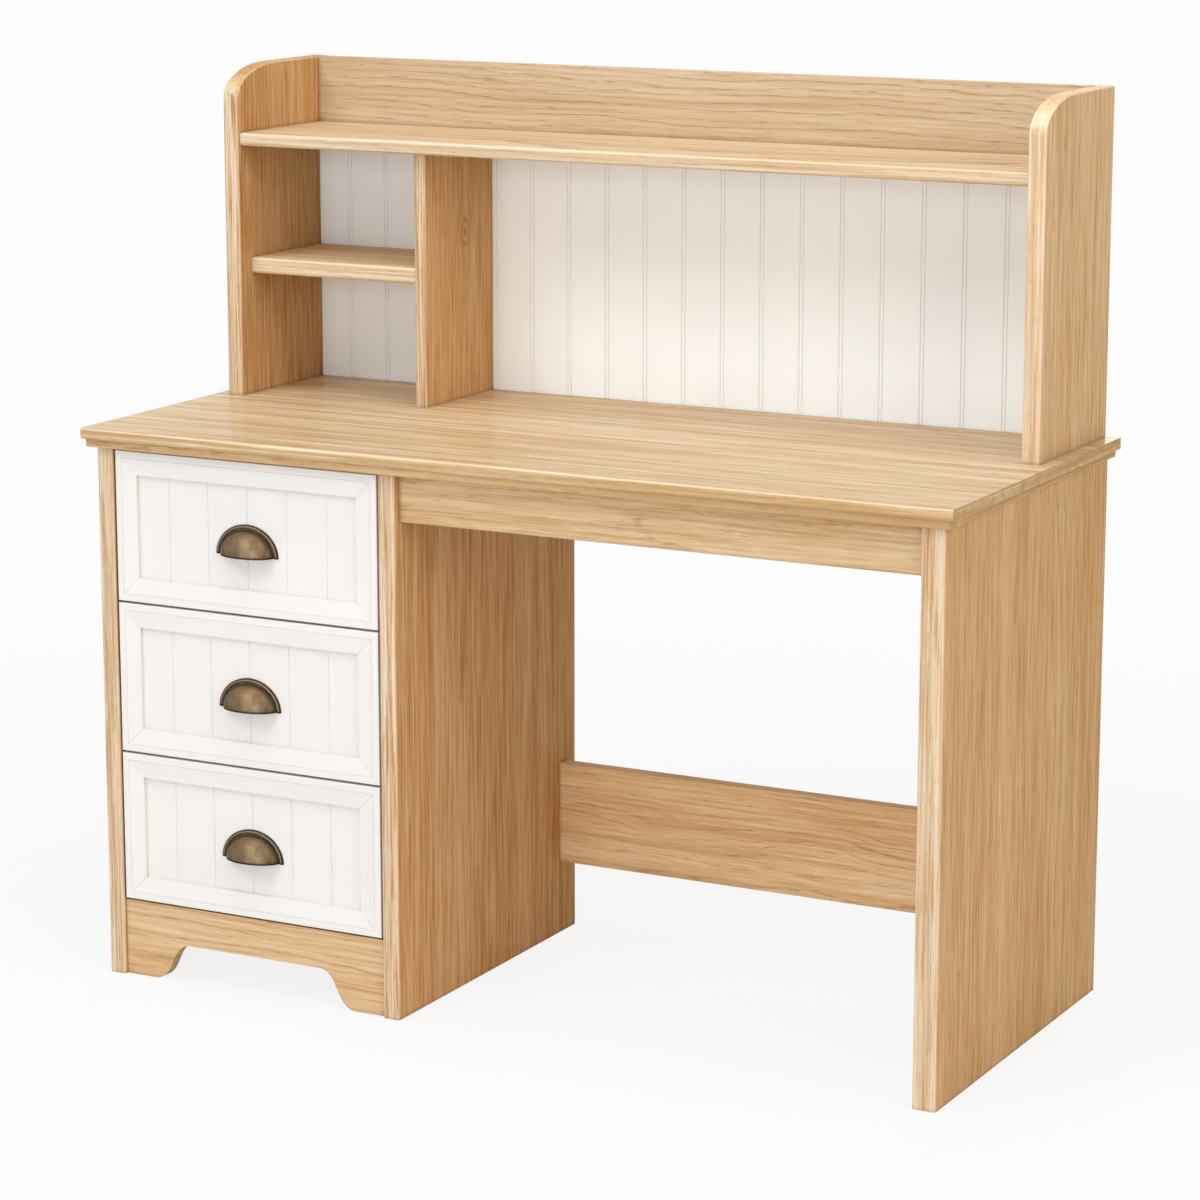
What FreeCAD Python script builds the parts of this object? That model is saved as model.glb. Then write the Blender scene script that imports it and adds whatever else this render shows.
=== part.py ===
import FreeCAD, Part
import os

V = FreeCAD.Vector
X_AXIS = V(1, 0, 0)
Y_AXIS = V(0, 1, 0)
Z_AXIS = V(0, 0, 1)

# Desktop and its edge strips
top_width = 1250.0
top_depth = 570.0
table_height = 755.0
slab_thickness = 15.0
slab_nose = 4.0
strip_thickness = 11.0
strip_depth = 45.0
strip_margin = 10.0
strip_inset = 5.0
strip_round = 3.0

# Upright panels of the desk
side_overhang = 15.0
front_overhang = 15.0
back_overhang = 7.0
middle_back_set = 58.0
panel_thickness = 25.0
right_panel_thickness = 32.0
panel_round = 4.0
drawer_opening = 409.0

# Rails between the panels
apron_height = 64.0
apron_thickness = 20.0
apron_inset = 13.0
stretcher_bottom = 103.0
stretcher_height = 144.0
stretcher_thickness = 20.0
stretcher_back_set = 25.0
rail_round = 4.0
plinth_height = 105.0
plinth_thickness = 18.0
plinth_inset = 6.0
plinth_foot = 44.0
plinth_ogee = 60.0
plinth_arch = 52.0
ogee_share = 0.6

# Closing boards of the drawer case
case_bottom_thickness = 15.0
case_back_thickness = 5.0
case_back_set = 15.0
case_groove = 6.0
groove_gap = 0.2

# Hutch
hutch_height = 458.0
hutch_inset = 20.0
hutch_depth = 238.0
hutch_back_set = 4.0
hutch_thickness = 24.0
hutch_round = 3.0
corner_sweep_depth = 100.0
corner_sweep_height = 45.0
arc_share = 0.5523
long_shelf_thickness = 18.0
long_shelf_inset = 4.0
shelf_round = 5.0
tray_height = 92.0
divider_thickness = 18.0
divider_from_left = 288.0
divider_inset = 26.0
small_shelf_rise = 169.0
small_shelf_thickness = 22.0
small_shelf_inset = 2.0
back_plane_set = 26.0
bead_board_thickness = 9.0
upper_board_thickness = 18.0
board_groove = 6.0
bead_pitch = 59.0
bead_width = 5.0
bead_line_width = 1.6
bead_line_depth = 1.4

# Drawers, numbered from the top
drawer_count = 3
drawer_reveal = 3.0
drawer_side_reveal = 2.5
front_inset = 2.0
front_thickness = 20.0
front_round = 1.5
front_border = 10.0
band_width = 22.0
band_depth = 2.5
recess_depth = 7.5
plank_pitch = 61.0
plank_groove_width = 2.4
plank_groove_depth = 1.2
band_spill_share = 0.1
quirk_width = 1.6
quirk_depth = 0.9
mitre_width = 1.0
mitre_depth = 0.6
box_side_thickness = 12.0
box_rise = 20.0
box_head_room = 44.0
box_rear_gap = 28.0
box_bottom_thickness = 5.0
box_bottom_rise = 12.0
box_groove = 5.0

# Cup pulls
pull_width = 96.0
pull_height = 42.0
pull_reach = 24.0
pull_rise = 78.0
pull_flange = 8.0
pull_flange_thickness = 1.6
pull_bead_inset = 1.6
pull_bead_width = 2.8
pull_bead_thickness = 3.4
pull_bead_round = 1.2
pull_sheet = 1.8
pull_screw_span = 56.0
pull_screw_rise = 12.0
pull_boss_diameter = 8.0
pull_screw_diameter = 4.0
pull_screw_bite = 8.0
pull_screw_head_diameter = 8.0
pull_screw_head = 2.5

# Ball bearing slides, each an outer rail, an inner rail and a ball cage
slide_gap = 12.7
rail_start_gap = 2.0
rail_end_gap = 18.0
rail_height = 45.0
rail_sheet = 1.2
outer_rail_reach = 11.0
inner_flange_start = 4.5
ball_gap = 4.3
ball_clearance = 0.3
ball_from_panel = 7.2
ball_pitch = 14.0
cage_sheet = 0.8
cage_start = 2.9
cage_reach = 10.0
cage_end_gap = 5.0
travel_share = 0.75
rail_screw_shares = (0.09, 0.5, 0.91)
box_screw_shares = (0.15, 0.85)
rail_screw_diameter = 3.5
rail_screw_length = 14.0
box_screw_length = 9.0
rail_screw_head_diameter = 7.0
rail_screw_head = 1.3

# Dowels and cam fittings
dowel_diameter = 8.0
dowel_length = 30.0
dowel_end_gap = 0.5
bore_gap = 0.1
slab_bite_share = 0.55
board_bite = 10.0
panel_dowel_shares = (0.09, 0.55)
panel_cam_shares = (0.2, 0.85)
hutch_dowel_shares = (0.2, 0.8)
rail_dowel_shares = (0.25, 0.75)
cam_drop = 24.0
cam_diameter = 15.0
cam_depth = 12.5
cam_bolt_inset = 8.0
cam_bolt_shaft = 6.0
cam_bolt_thread = 7.0
cam_bolt_head = 7.5
cam_bolt_head_height = 3.0
cam_bore = 8.4
cam_slot_width = 1.2
cam_slot_length = 7.0
cam_slot_depth = 2.0

# How far a cutting shape runs past the face it opens
overrun = 1.0
# How close an edge must lie to a plane to belong to it
near = 0.01

# Places worked out from the sizes above
half_top = top_width / 2
front_y = -top_depth / 2
back_y = top_depth / 2
overall_height = table_height + hutch_height
slab_under = table_height - slab_thickness
panel_top = slab_under - strip_thickness
panel_front = front_y + front_overhang
panel_back = back_y - back_overhang
middle_back = panel_back - middle_back_set
left_outer = -half_top + side_overhang
left_inner = left_outer + panel_thickness
mid_left = left_inner + drawer_opening
mid_right = mid_left + panel_thickness
right_outer = half_top - side_overhang
right_inner = right_outer - right_panel_thickness
slab_bite = slab_thickness * slab_bite_share

strip_left = -half_top + strip_inset
strip_right = half_top - strip_inset
strip_front = front_y + strip_inset
strip_back = back_y - strip_inset

case_back_front = middle_back - case_back_set - case_back_thickness
plinth_front = panel_front + plinth_inset
plinth_back = plinth_front + plinth_thickness
case_bottom_z = plinth_height - case_bottom_thickness
apron_front = panel_front + apron_inset
stretcher_back = middle_back - stretcher_back_set
stretcher_front = stretcher_back - stretcher_thickness

hutch_left = -half_top + hutch_inset
hutch_left_inner = hutch_left + hutch_thickness
hutch_right = half_top - hutch_inset
hutch_right_inner = hutch_right - hutch_thickness
hutch_back = back_y - hutch_back_set
hutch_front = hutch_back - hutch_depth
back_plane = hutch_back - back_plane_set
upper_board_back = back_plane + upper_board_thickness
long_shelf_top = overall_height - tray_height
long_shelf_under = long_shelf_top - long_shelf_thickness
divider_left = hutch_left + divider_from_left
divider_right = divider_left + divider_thickness
divider_front = hutch_front + divider_inset
small_shelf_under = table_height + small_shelf_rise
small_shelf_front = divider_front + small_shelf_inset

drawer_space = panel_top - plinth_height - drawer_reveal * (drawer_count + 1)
drawer_height = drawer_space / drawer_count
drawer_front = panel_front + front_inset
drawer_front_back = drawer_front + front_thickness
drawer_left = left_inner + drawer_side_reveal
drawer_right = mid_left - drawer_side_reveal
drawer_middle = (drawer_left + drawer_right) / 2
box_left = left_inner + slide_gap
box_right = mid_left - slide_gap
box_back = case_back_front - box_rear_gap
box_height = drawer_height - box_rise - box_head_room
box_inner_left = box_left + box_side_thickness
box_inner_right = box_right - box_side_thickness
box_inner_back = box_back - box_side_thickness

rail_start = drawer_front_back + rail_start_gap
rail_length = box_back - rail_end_gap - rail_start
half_rail = rail_height / 2
half_inner_rail = half_rail - rail_sheet - ball_gap
ball_rise = half_inner_rail + ball_gap / 2
ball_diameter = ball_gap - 2 * ball_clearance
drawer_travel = rail_length * travel_share
cage_travel = drawer_travel / 2
cage_length = rail_length - drawer_travel - 2 * cage_end_gap
cage_front = rail_start + cage_travel + cage_end_gap
ball_count = int(cage_length / ball_pitch)

os.makedirs("parts", exist_ok=True)


def save(name, shape):
    shape.exportStep("parts/" + name + ".step")


def block(x0, x1, y0, y1, z0, z1):
    return Part.makeBox(x1 - x0, y1 - y0, z1 - z0, V(x0, y0, z0))


def rod(diameter, length, base, axis):
    return Part.makeCylinder(diameter / 2, length, base, axis)


def prism(points, along):
    """A straight bar whose section is the polygon through the points."""
    return Part.Face(Part.makePolygon(points + points[:1])).extrude(along)


def soften(shape, radius, picks):
    """Rounds the edges whose bounding boxes the test picks."""
    return shape.makeFillet(radius, [e for e in shape.Edges if picks(e.BoundBox)])


def round_front_uprights(shape, radius):
    """Rounds the upright edges of a panel's front face."""
    front = shape.BoundBox.YMin + near
    return soften(shape, radius, lambda b: b.YMax < front and b.ZLength > near)


def round_front_levels(shape, radius):
    """Rounds the level edges of a board's front face."""
    front = shape.BoundBox.YMin + near
    return soften(shape, radius, lambda b: b.YMax < front and b.XLength > near)


def along(start, end, shares):
    return [start + (end - start) * share for share in shares]


def drill(shape, bores):
    """Cuts the bores that reach into the shape."""
    reached = [b for b in bores if b.BoundBox.intersect(shape.BoundBox)]
    return shape.cut(reached) if reached else shape


# Every wooden piece of the carcass is kept here until it is drilled
carcass = {}
carcass_bores = []
dowels = []


def add_dowel(base, axis):
    """A dowel from the base along the axis, and the bore that takes it."""
    dowels.append(rod(dowel_diameter, dowel_length, base, axis))
    bore_length = dowel_length + 2 * dowel_end_gap
    bore_diameter = dowel_diameter + 2 * bore_gap
    carcass_bores.append(rod(bore_diameter, bore_length, base - axis * dowel_end_gap, axis))


def dowel_across(joint_x, y, z):
    """A dowel laid left to right, half in each of two pieces that meet at joint_x."""
    add_dowel(V(joint_x - dowel_length / 2, y, z), X_AXIS)


# Desktop slab with its rounded nosing
slab = block(-half_top, half_top, front_y, back_y, slab_under, table_height)
slab = soften(slab, slab_nose, lambda b: b.YMax < back_y - near and b.ZLength < near)
carcass["desktop"] = slab

# Edge strips under the slab, a frame with a bar over the middle panel
strip_inner_front = strip_front + strip_depth
strip_inner_back = strip_back - strip_depth
left_strip_inner = left_inner + strip_margin
right_strip_inner = right_inner - strip_margin
front_strip = block(strip_left, strip_right, strip_front, strip_inner_front, panel_top, slab_under)
front_strip_low = front_strip.BoundBox.ZMin + near
carcass["front_edge_strip"] = soften(
    front_strip, strip_round, lambda b: b.ZMax < front_strip_low and b.YMax < strip_front + near
)


def side_strip(outer, inner):
    """An edge strip from front to back, rounded below along its outer side."""
    x0, x1 = sorted((outer, inner))
    bar = block(x0, x1, strip_inner_front, strip_back, panel_top, slab_under)
    low = panel_top + near
    return soften(bar, strip_round, lambda b: b.ZMax < low and abs(b.Center.x - outer) < near)


carcass["left_edge_strip"] = side_strip(strip_left, left_strip_inner)
carcass["right_edge_strip"] = side_strip(strip_right, right_strip_inner)
carcass["rear_edge_strip"] = block(
    left_strip_inner, right_strip_inner, strip_inner_back, strip_back, panel_top, slab_under
)
carcass["middle_strip"] = block(
    mid_left - strip_margin, mid_right + strip_margin,
    strip_inner_front, strip_inner_back, panel_top, slab_under,
)

# Upright panels, grooved for the back of the drawer case
case_back_groove = block(
    left_inner - case_groove, mid_left + case_groove,
    case_back_front - groove_gap, case_back_front + case_back_thickness + groove_gap,
    case_bottom_z - groove_gap, panel_top + overrun,
)


def upright(x0, x1, back):
    return round_front_uprights(block(x0, x1, panel_front, back, 0, panel_top), panel_round)


carcass["left_side_panel"] = upright(left_outer, left_inner, panel_back).cut(case_back_groove)
carcass["middle_panel"] = upright(mid_left, mid_right, middle_back).cut(case_back_groove)
carcass["right_side_panel"] = upright(right_inner, right_outer, panel_back)

# Apron and stretcher across the kneehole
apron_under = panel_top - apron_height
apron = block(mid_right, right_inner, apron_front, apron_front + apron_thickness, apron_under, panel_top)
carcass["apron_rail"] = soften(
    apron, rail_round, lambda b: b.ZMax < apron_under + near and b.XLength > near
)
stretcher_top = stretcher_bottom + stretcher_height
stretcher = block(
    mid_right, right_inner, stretcher_front, stretcher_back, stretcher_bottom, stretcher_top
)
carcass["stretcher_rail"] = round_front_levels(stretcher, rail_round)


def ogee(x_foot, x_arch):
    """The S curve from the end of a foot up to the arch."""
    run = (x_arch - x_foot) * ogee_share
    poles = [
        V(x_foot, plinth_front, 0),
        V(x_foot + run, plinth_front, 0),
        V(x_arch - run, plinth_front, plinth_arch),
        V(x_arch, plinth_front, plinth_arch),
    ]
    curve = Part.BezierCurve()
    curve.setPoles(poles)
    return curve.toShape()


def plinth_rail():
    """The board under the drawers, cut away between two feet."""
    foot_l = left_inner + plinth_foot
    foot_r = mid_left - plinth_foot
    arch_l = foot_l + plinth_ogee
    arch_r = foot_r - plinth_ogee
    y = plinth_front
    edges = [
        ogee(foot_l, arch_l),
        Part.makeLine(V(arch_l, y, plinth_arch), V(arch_r, y, plinth_arch)),
        ogee(foot_r, arch_r),
        Part.makeLine(V(foot_r, y, 0), V(mid_left, y, 0)),
        Part.makeLine(V(mid_left, y, 0), V(mid_left, y, plinth_height)),
        Part.makeLine(V(mid_left, y, plinth_height), V(left_inner, y, plinth_height)),
        Part.makeLine(V(left_inner, y, plinth_height), V(left_inner, y, 0)),
        Part.makeLine(V(left_inner, y, 0), V(foot_l, y, 0)),
    ]
    outline = Part.Wire(Part.__sortEdges__(edges))
    return Part.Face(outline).extrude(Y_AXIS * plinth_thickness)


carcass["plinth_rail"] = plinth_rail()

# Boards that close the drawer case below and behind
carcass["pedestal_bottom_panel"] = block(
    left_inner, mid_left, plinth_back, case_back_front, case_bottom_z, plinth_height
)
carcass["pedestal_back_panel"] = block(
    left_inner - case_groove + groove_gap, mid_left + case_groove - groove_gap,
    case_back_front, case_back_front + case_back_thickness, case_bottom_z, panel_top,
)


def hutch_side(x0, x1):
    """A hutch side whose top front corner sweeps back in a quarter ellipse."""
    sweep_z = overall_height - corner_sweep_height
    sweep_y = hutch_front + corner_sweep_depth
    poles = [
        V(x0, hutch_front, sweep_z),
        V(x0, hutch_front, sweep_z + corner_sweep_height * arc_share),
        V(x0, sweep_y - corner_sweep_depth * arc_share, overall_height),
        V(x0, sweep_y, overall_height),
    ]
    sweep = Part.BezierCurve()
    sweep.setPoles(poles)
    edges = [
        Part.makeLine(V(x0, hutch_front, table_height), V(x0, hutch_front, sweep_z)),
        sweep.toShape(),
        Part.makeLine(V(x0, sweep_y, overall_height), V(x0, hutch_back, overall_height)),
        Part.makeLine(V(x0, hutch_back, overall_height), V(x0, hutch_back, table_height)),
        Part.makeLine(V(x0, hutch_back, table_height), V(x0, hutch_front, table_height)),
    ]
    side = Part.Face(Part.Wire(edges)).extrude(X_AXIS * (x1 - x0))
    front_run = hutch_back - near
    low = table_height + near
    side = soften(side, hutch_round, lambda b: b.XLength < near and b.YMin < front_run and b.ZMax > low)
    groove = block(
        hutch_left_inner - board_groove, hutch_right_inner + board_groove,
        back_plane - groove_gap, back_plane + bead_board_thickness + groove_gap,
        table_height - overrun, long_shelf_under,
    )
    return side.cut(groove)


carcass["hutch_left_side"] = hutch_side(hutch_left, hutch_left_inner)
carcass["hutch_right_side"] = hutch_side(hutch_right_inner, hutch_right)
carcass["hutch_long_shelf"] = round_front_levels(
    block(
        hutch_left_inner, hutch_right_inner, hutch_front + long_shelf_inset, upper_board_back,
        long_shelf_under, long_shelf_top,
    ),
    shelf_round,
)
carcass["hutch_divider"] = round_front_uprights(
    block(divider_left, divider_right, divider_front, back_plane, table_height, long_shelf_under),
    hutch_round,
)
carcass["hutch_small_shelf"] = round_front_levels(
    block(
        hutch_left_inner, divider_left, small_shelf_front, back_plane,
        small_shelf_under, small_shelf_under + small_shelf_thickness,
    ),
    shelf_round,
)
carcass["hutch_upper_back_board"] = block(
    hutch_left_inner, hutch_right_inner, back_plane, upper_board_back, long_shelf_top, overall_height
)


def notch(x, y, width, depth):
    """The three section points of a fine V groove that opens towards the front."""
    return [V(x - width / 2, y, 0), V(x, y + depth, 0), V(x + width / 2, y, 0)]


def fine_groove(start, run, across, depth):
    """A V groove in a front face, as wide there as the vector across; its sides run on past the face."""
    deep = Y_AXIS * depth
    return prism([start - across - deep, start + across - deep, start + deep], run)


def bead_board():
    """The hutch back, with a bead between two fine grooves at each plank joint."""
    x0 = hutch_left_inner - board_groove + groove_gap
    x1 = hutch_right_inner + board_groove - groove_gap
    joints = int((x1 - x0) / bead_pitch / 2)
    section = [V(x0, back_plane, 0)]
    for k in range(-joints, joints + 1):
        for side in (-1, 1):
            line_x = k * bead_pitch + side * bead_width / 2
            if x0 + bead_width < line_x < x1 - bead_width:
                section += notch(line_x, back_plane, bead_line_width, bead_line_depth)
    rear = back_plane + bead_board_thickness
    section += [V(x1, back_plane, 0), V(x1, rear, 0), V(x0, rear, 0)]
    board = prism(section, Z_AXIS * (long_shelf_under - table_height))
    board.translate(Z_AXIS * table_height)
    return board


carcass["hutch_back_panel"] = bead_board()

# Dowels: panels up through the edge strips into the slab
panel_middles = (
    (left_outer + left_inner) / 2,
    (mid_left + mid_right) / 2,
    (right_inner + right_outer) / 2,
)
dowel_foot = slab_under + slab_bite - dowel_length
for panel_x in panel_middles:
    for y in along(panel_front, middle_back, panel_dowel_shares):
        add_dowel(V(panel_x, y, dowel_foot), Z_AXIS)

# Dowels: rails and case bottom into the panels
rail_y = apron_front + apron_thickness / 2
for z in along(apron_under, panel_top, rail_dowel_shares):
    for joint_x in (mid_right, right_inner):
        dowel_across(joint_x, rail_y, z)
rail_y = stretcher_front + stretcher_thickness / 2
for z in along(stretcher_bottom, stretcher_top, rail_dowel_shares):
    for joint_x in (mid_right, right_inner):
        dowel_across(joint_x, rail_y, z)
rail_y = plinth_front + plinth_thickness / 2
for z in along(0, plinth_height, rail_dowel_shares):
    for joint_x in (left_inner, mid_left):
        dowel_across(joint_x, rail_y, z)
for y in along(plinth_back, case_back_front, rail_dowel_shares):
    for joint_x in (left_inner, mid_left):
        dowel_across(joint_x, y, plinth_height - case_bottom_thickness / 2)

# Dowels: hutch onto the slab, and its boards into one another
slab_dowel_z = table_height - slab_bite
for side_x in (hutch_left + hutch_thickness / 2, hutch_right - hutch_thickness / 2):
    for y in along(hutch_front, back_plane, hutch_dowel_shares):
        add_dowel(V(side_x, y, slab_dowel_z), Z_AXIS)
divider_middle = divider_left + divider_thickness / 2
for y in along(divider_front, back_plane, rail_dowel_shares):
    add_dowel(V(divider_middle, y, slab_dowel_z), Z_AXIS)
    add_dowel(V(divider_middle, y, long_shelf_under + board_bite - dowel_length), Z_AXIS)
    small_shelf_middle = small_shelf_under + small_shelf_thickness / 2
    dowel_across(hutch_left_inner, y, small_shelf_middle)
    add_dowel(V(divider_left + board_bite - dowel_length, y, small_shelf_middle), X_AXIS)
for joint_x in (hutch_left_inner, hutch_right_inner):
    for y in along(hutch_front, back_plane, rail_dowel_shares):
        dowel_across(joint_x, y, long_shelf_top - long_shelf_thickness / 2)
    for z in along(long_shelf_top, overall_height, rail_dowel_shares):
        dowel_across(joint_x, back_plane + upper_board_thickness / 2, z)

# Cam fittings that draw the panels up to the slab
cam_bolts = []
cam_discs = []
cam_z = panel_top - cam_drop
bolt_foot = cam_z - cam_bolt_head_height / 2


def add_cam(face_x, inward, y):
    """A cam disc let into the panel face at face_x, with its bolt; inward points into the panel."""
    bolt_x = face_x + inward * cam_bolt_inset
    bolt = rod(cam_bolt_shaft, slab_under - bolt_foot, V(bolt_x, y, bolt_foot), Z_AXIS)
    bolt = bolt.fuse(rod(cam_bolt_head, cam_bolt_head_height, V(bolt_x, y, bolt_foot), Z_AXIS))
    bolt = bolt.fuse(rod(cam_bolt_thread, slab_bite, V(bolt_x, y, slab_under), Z_AXIS))
    cam_bolts.append(bolt.removeSplitter())
    bore_foot = bolt_foot - bore_gap
    shaft_bore = rod(cam_bore, slab_under - bore_foot, V(bolt_x, y, bore_foot), Z_AXIS)
    thread_bore = rod(cam_bolt_thread, slab_bite + dowel_end_gap, V(bolt_x, y, slab_under), Z_AXIS)
    face = V(face_x, y, cam_z)
    disc_bore = rod(cam_diameter + 2 * bore_gap, cam_depth + bore_gap, face, X_AXIS * inward)
    carcass_bores.extend((shaft_bore, thread_bore, disc_bore))
    disc = rod(cam_diameter, cam_depth, face, X_AXIS * inward).cut(shaft_bore)
    slot_x = sorted((face_x, face_x + inward * cam_slot_depth))
    long_half = cam_slot_length / 2
    thin_half = cam_slot_width / 2
    level = block(*slot_x, y - long_half, y + long_half, cam_z - thin_half, cam_z + thin_half)
    erect = block(*slot_x, y - thin_half, y + thin_half, cam_z - long_half, cam_z + long_half)
    cam_discs.append(disc.cut([level, erect]))


for y in along(panel_front, middle_back, panel_cam_shares):
    add_cam(left_inner, -1, y)
    add_cam(mid_left, 1, y)
    add_cam(right_inner, 1, y)


def channel(web, web_inner, tip, half, sheet):
    """Section of a C channel, in distances out from the panel face and up from the slide's middle."""
    low = half - sheet
    return [
        (web, -half), (tip, -half), (tip, -low), (web_inner, -low),
        (web_inner, low), (tip, low), (tip, half), (web, half),
    ]


outer_section = channel(0, rail_sheet, outer_rail_reach, half_rail, rail_sheet)
inner_section = channel(slide_gap, slide_gap - rail_sheet, inner_flange_start, half_inner_rail, rail_sheet)
cage_half = ball_rise + cage_sheet / 2
cage_section = channel(cage_start, cage_start + cage_sheet, cage_reach, cage_half, cage_sheet)


def screw(tip, axis, shaft_diameter, shaft_length, head_diameter, head_height):
    """A screw with its tip first; the axis points from the tip to the head."""
    shaft = rod(shaft_diameter, shaft_length, tip, axis)
    head = rod(head_diameter, head_height, tip + axis * shaft_length, axis)
    return shaft.fuse(head).removeSplitter()


def rail_screw(tip, axis, shaft_length):
    shaft = (rail_screw_diameter, shaft_length)
    return screw(tip, axis, *shaft, rail_screw_head_diameter, rail_screw_head)


def slide_side(face_x, inward, middle_z):
    """One slide on the panel face at face_x, with the bores for its screws; inward points to the drawer."""
    into_case = X_AXIS * inward
    middle = V(face_x, 0, middle_z)

    def bar(section, y, length):
        corners = [middle + into_case * u + Y_AXIS * y + Z_AXIS * v for u, v in section]
        return prism(corners, Y_AXIS * length)

    outer_bores = []
    outer_screws = []
    for y in along(rail_start, rail_start + rail_length, rail_screw_shares):
        tip = middle + Y_AXIS * y + into_case * (rail_sheet - rail_screw_length)
        outer_screws.append(rail_screw(tip, into_case, rail_screw_length))
        outer_bores.append(rod(rail_screw_diameter, rail_screw_length, tip, into_case))
    box_bores = []
    inner_screws = []
    for y in along(rail_start, rail_start + rail_length, box_screw_shares):
        tip = middle + Y_AXIS * y + into_case * (slide_gap - rail_sheet + box_screw_length)
        inner_screws.append(rail_screw(tip, -into_case, box_screw_length))
        box_bores.append(rod(rail_screw_diameter, box_screw_length, tip, -into_case))
    balls = []
    seats = []
    first_ball = cage_front + (cage_length - ball_pitch * (ball_count - 1)) / 2
    for k in range(ball_count):
        for side in (-1, 1):
            rise = Z_AXIS * (side * ball_rise)
            centre = middle + into_case * ball_from_panel + Y_AXIS * (first_ball + k * ball_pitch) + rise
            balls.append(Part.makeSphere(ball_diameter / 2, centre))
            seats.append(rod(ball_diameter, 2 * cage_sheet, centre - Z_AXIS * cage_sheet, Z_AXIS))
    return {
        "outer": bar(outer_section, rail_start, rail_length).cut(outer_bores),
        "inner": bar(inner_section, rail_start, rail_length).cut(box_bores),
        "cage": bar(cage_section, cage_front, cage_length).cut(seats),
        "balls": balls,
        "outer_screws": outer_screws,
        "inner_screws": inner_screws,
        "outer_bores": outer_bores,
        "box_bores": box_bores,
    }


def drawer_face(z0):
    """The planked front: flat border, sloping band, then a recessed panel with plank grooves."""
    z1 = z0 + drawer_height
    face = block(drawer_left, drawer_right, drawer_front, drawer_front_back, z0, z1)
    face = soften(face, front_round, lambda b: b.YMax < drawer_front + near)

    def frame(inset, y):
        x0, x1 = drawer_left + inset, drawer_right - inset
        low, high = z0 + inset, z1 - inset
        corners = [V(x0, y, low), V(x1, y, low), V(x1, y, high), V(x0, y, high)]
        return Part.makePolygon(corners + corners[:1])

    inset = front_border + band_width
    spill = band_width * band_spill_share
    outer = frame(front_border - spill, drawer_front - band_depth * band_spill_share)
    inner = frame(inset, drawer_front + band_depth)
    band = Part.makeLoft([outer, inner], True, True)
    floor = drawer_front + recess_depth
    recess = block(drawer_left + inset, drawer_right - inset, drawer_front, floor, z0 + inset, z1 - inset)
    cuts = [band, recess]
    groove_count = int((drawer_right - drawer_left - 2 * inset) / plank_pitch)
    first = drawer_middle - plank_pitch * (groove_count - 1) / 2
    for k in range(groove_count):
        section = notch(first + k * plank_pitch, floor, plank_groove_width, plank_groove_depth)
        groove = prism(section, Z_AXIS * (drawer_height - 2 * inset))
        groove.translate(Z_AXIS * (z0 + inset))
        cuts.append(groove)

    # a fine quirk between the border and the band, and the mitre lines across the band
    for x in (drawer_left + front_border, drawer_right - front_border):
        run = Z_AXIS * (drawer_height - 2 * front_border + quirk_width)
        start = V(x, drawer_front, z0 + front_border - quirk_width / 2)
        cuts.append(fine_groove(start, run, X_AXIS * quirk_width, quirk_depth))
    for z in (z0 + front_border, z1 - front_border):
        run = X_AXIS * (drawer_right - drawer_left - 2 * front_border + quirk_width)
        start = V(drawer_left + front_border - quirk_width / 2, drawer_front, z)
        cuts.append(fine_groove(start, run, Z_AXIS * quirk_width, quirk_depth))
    for corner_x, right in ((drawer_left, 1), (drawer_right, -1)):
        for corner_z, up in ((z0, 1), (z1, -1)):
            slope = V(right, band_depth / band_width, up)
            start = V(corner_x, drawer_front, corner_z) + V(right, 0, up) * front_border
            across = V(right, 0, -up).normalize() * mitre_width
            cuts.append(fine_groove(start, slope * (band_width + overrun), across, mitre_depth))
    return face.cut(cuts)


def stretched(shape, width, height):
    """Stretches a round shape of the pull's reach to the width and height of a half oval."""
    matrix = FreeCAD.Matrix()
    matrix.scale(V(width / 2 / pull_reach, 1, height / pull_reach))
    return shape.transformGeometry(matrix)


def oval_plate(width, height, thickness):
    """Half an oval plate, standing on its straight side, with its back on the plane y = 0."""
    half_oval = Part.makeCylinder(pull_reach, thickness, V(0, 0, 0), -Y_AXIS)
    plate = stretched(half_oval, width, height)
    return plate.common(block(-width, width, -pull_reach, pull_reach, 0, height + overrun))


def cup_pull():
    """A half dome open below, with a beaded flange round it and two screw bosses inside."""
    dome_width = pull_width - 2 * pull_flange
    dome_height = pull_height - pull_flange
    quarter = Part.makeSphere(pull_reach, V(0, 0, 0), Z_AXIS, 0, 90, 180)
    quarter.rotate(V(0, 0, 0), Z_AXIS, 180)
    dome = stretched(quarter, dome_width, dome_height)
    hollow = stretched(quarter, dome_width - 2 * pull_sheet, dome_height - pull_sheet)
    thinner = FreeCAD.Matrix()
    thinner.scale(V(1, (pull_reach - pull_sheet) / pull_reach, 1))
    hollow = hollow.transformGeometry(thinner)
    flange = oval_plate(pull_width, pull_height, pull_flange_thickness)
    bead_outer = pull_bead_inset
    bead_inner = pull_bead_inset + pull_bead_width
    bead = oval_plate(pull_width - 2 * bead_outer, pull_height - bead_outer, pull_bead_thickness)
    moat = oval_plate(pull_width - 2 * bead_inner, pull_height - bead_inner, pull_reach)
    bead = bead.cut(moat)
    crown = near - pull_bead_thickness
    bead = soften(bead, pull_bead_round, lambda b: b.YMax < crown and b.ZMax > pull_height / 2)
    pull = dome.fuse([flange, bead]).cut(hollow)
    for side in (-1, 1):
        seat = V(side * pull_screw_span / 2, 0, pull_screw_rise)
        boss = rod(pull_boss_diameter, pull_reach, seat, -Y_AXIS).common(dome)
        thread = rod(pull_screw_diameter, pull_screw_bite + dowel_end_gap, seat, -Y_AXIS)
        pull = pull.fuse(boss).cut(thread)
    return pull.removeSplitter()


pull_shape = cup_pull()


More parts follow.
